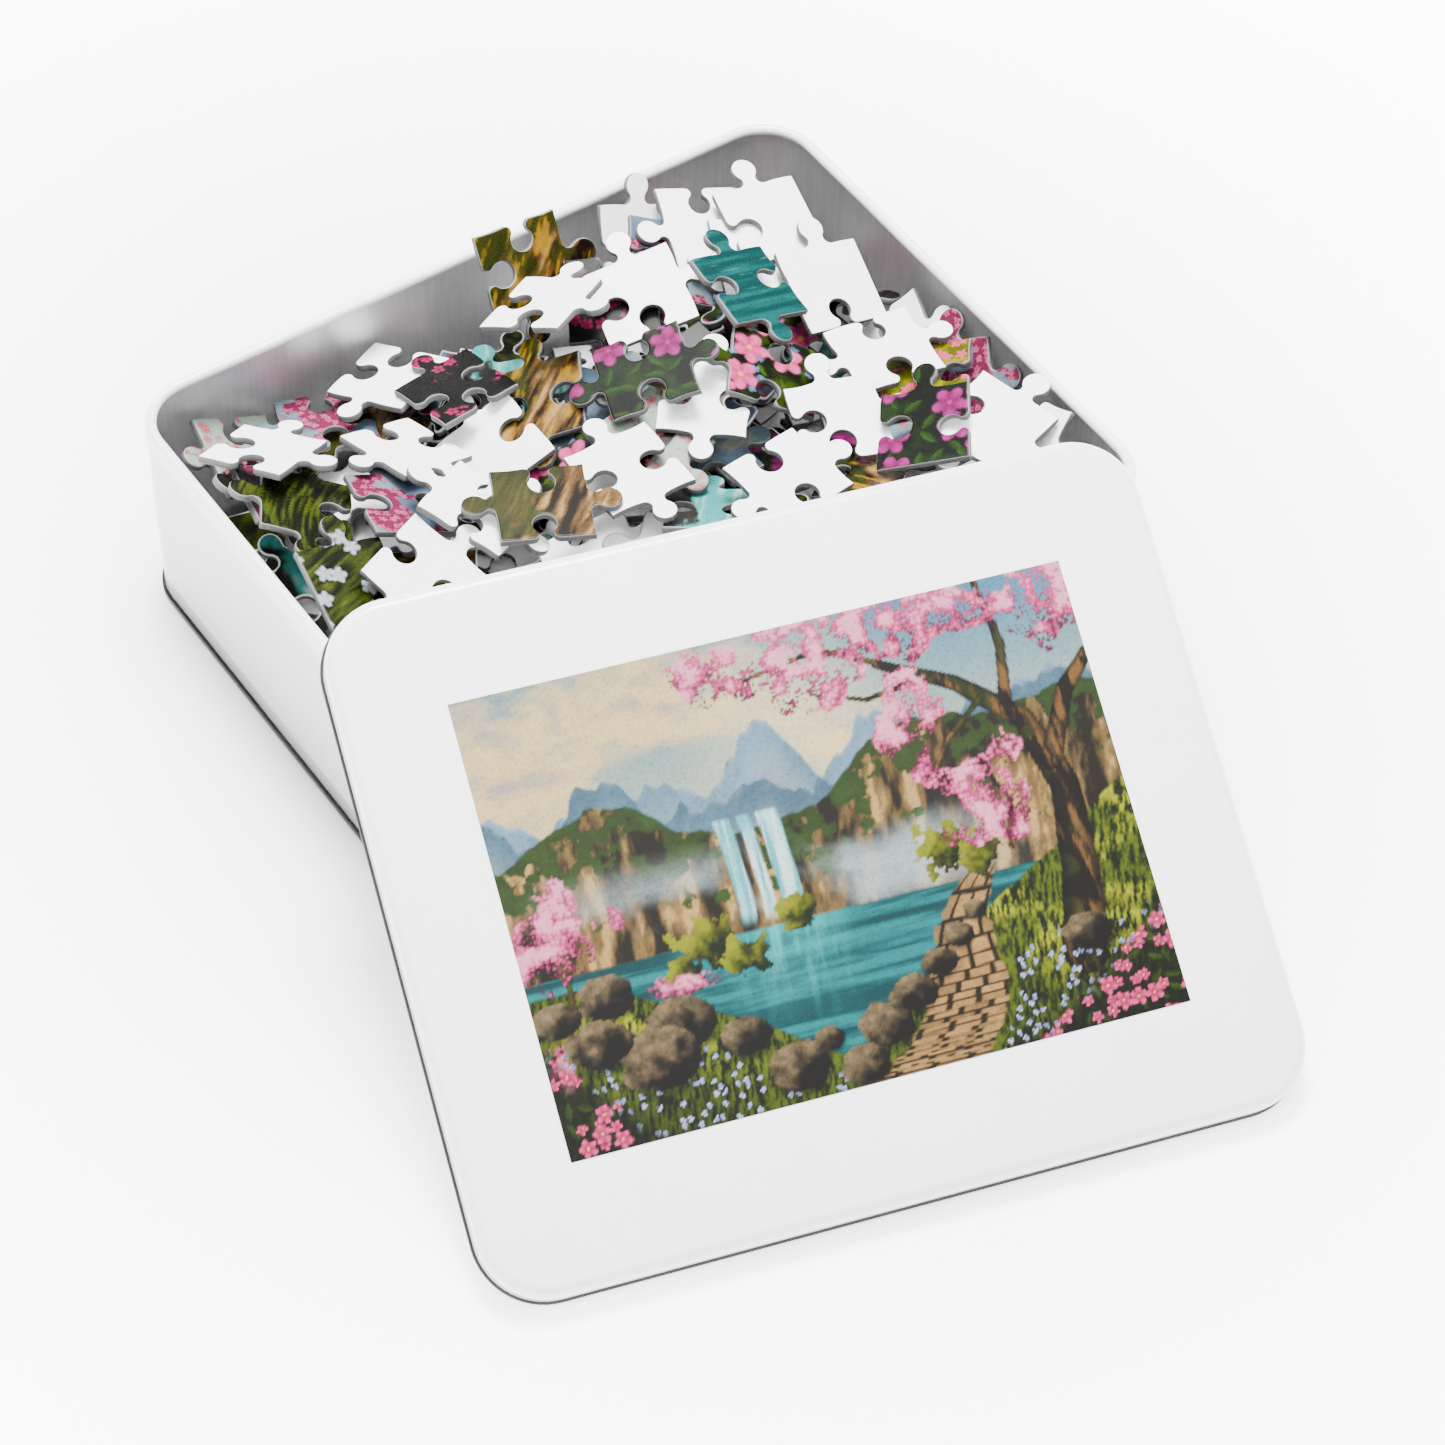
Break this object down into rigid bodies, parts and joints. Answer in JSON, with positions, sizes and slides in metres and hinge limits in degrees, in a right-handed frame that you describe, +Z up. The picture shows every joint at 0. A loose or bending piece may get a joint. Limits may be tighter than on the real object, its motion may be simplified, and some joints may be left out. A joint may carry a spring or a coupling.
{
  "type": "boxed jigsaw puzzle",
  "caption": "Open rectangular tin heaped with loose jigsaw puzzle pieces, its printed lid leaning on the front rim.",
  "frame": {"origin": "middle of the tin's flat underside", "axes": "+Z up, X along the tin's long sides, -Y towards the side the lid leans on"},
  "size_m": [0.2463, 0.3011, 0.0854],
  "materials": {
    "tin_enamel": "gloss white enamel outside, bare inside",
    "bare_tinplate": "satin",
    "lid_print": "gloss litho print",
    "printed_board": "gloss print on board",
    "white_board_back": "semi-gloss white board"
  },
  "bodies": {
    "tin_and_heap": {"tin_wall": "tin_enamel", "tin_bottom": "bare_tinplate", "buried_back_up_front": "white_board_back", "buried_picture_up_front": "printed_board", "buried_picture_up_back": "printed_board", "buried_back_up_back": "white_board_back", "back_up_piece_01": "white_board_back", "picture_up_piece_01": "printed_board", "picture_up_piece_02": "printed_board", "picture_up_piece_03": "printed_board", "picture_up_piece_04": "printed_board", "back_up_piece_02": "white_board_back", "picture_up_piece_05": "printed_board", "back_up_piece_03": "white_board_back", "picture_up_piece_06": "printed_board", "picture_up_piece_07": "printed_board", "picture_up_piece_08": "printed_board", "picture_up_piece_09": "printed_board", "picture_up_piece_10": "printed_board", "picture_up_piece_11": "printed_board", "picture_up_piece_12": "printed_board", "picture_up_piece_13": "printed_board", "picture_up_piece_14": "printed_board", "picture_up_piece_15": "printed_board", "picture_up_piece_16": "printed_board", "picture_up_piece_17": "printed_board", "picture_up_piece_18": "printed_board", "picture_up_piece_19": "printed_board", "picture_up_piece_20": "printed_board", "picture_up_piece_21": "printed_board", "back_up_piece_04": "white_board_back", "picture_up_piece_22": "printed_board", "back_up_piece_05": "white_board_back", "back_up_piece_06": "white_board_back", "back_up_piece_07": "white_board_back", "back_up_piece_09": "white_board_back", "back_up_piece_10": "white_board_back", "back_up_piece_11": "white_board_back", "back_up_piece_12": "white_board_back", "back_up_piece_13": "white_board_back", "picture_up_piece_23": "printed_board", "back_up_piece_14": "white_board_back", "back_up_piece_15": "white_board_back", "back_up_piece_16": "white_board_back", "picture_up_piece_25": "printed_board", "back_up_piece_17": "white_board_back", "back_up_piece_18": "white_board_back", "back_up_piece_19": "white_board_back", "back_up_piece_20": "white_board_back"},
    "lid": {"lid_shell": "tin_enamel", "lid_picture_label": "lid_print"},
    "back_loose_08": {"back_up_piece_08": "white_board_back"},
    "picture_loose_24": {"picture_up_piece_24": "printed_board"},
    "picture_loose_26": {"picture_up_piece_26": "printed_board"},
    "picture_loose_27": {"picture_up_piece_27": "printed_board"},
    "picture_loose_28": {"picture_up_piece_28": "printed_board"},
    "picture_loose_29": {"picture_up_piece_29": "printed_board"},
    "back_loose_21": {"back_up_piece_21": "white_board_back"}
  },
  "joints": [
    {"name": "lid_lift", "type": "slide", "parent": "tin_and_heap", "child": "lid", "axis": [0, 0, 1], "range_m": [0, 0.16]},
    {"name": "lift_back_up_piece_08", "type": "slide", "parent": "tin_and_heap", "child": "back_loose_08", "axis": [0, 0, 1], "range_m": [0, 0.03]},
    {"name": "lift_picture_up_piece_24", "type": "slide", "parent": "tin_and_heap", "child": "picture_loose_24", "axis": [0, 0, 1], "range_m": [0, 0.03]},
    {"name": "lift_picture_up_piece_26", "type": "slide", "parent": "tin_and_heap", "child": "picture_loose_26", "axis": [0, 0, 1], "range_m": [0, 0.03]},
    {"name": "lift_picture_up_piece_27", "type": "slide", "parent": "tin_and_heap", "child": "picture_loose_27", "axis": [0, 0, 1], "range_m": [0, 0.03]},
    {"name": "lift_picture_up_piece_28", "type": "slide", "parent": "tin_and_heap", "child": "picture_loose_28", "axis": [0, 0, 1], "range_m": [0, 0.03]},
    {"name": "lift_picture_up_piece_29", "type": "slide", "parent": "tin_and_heap", "child": "picture_loose_29", "axis": [0, 0, 1], "range_m": [0, 0.03]},
    {"name": "lift_back_up_piece_21", "type": "slide", "parent": "tin_and_heap", "child": "back_loose_21", "axis": [0, 0, 1], "range_m": [0, 0.03]}
  ]
}
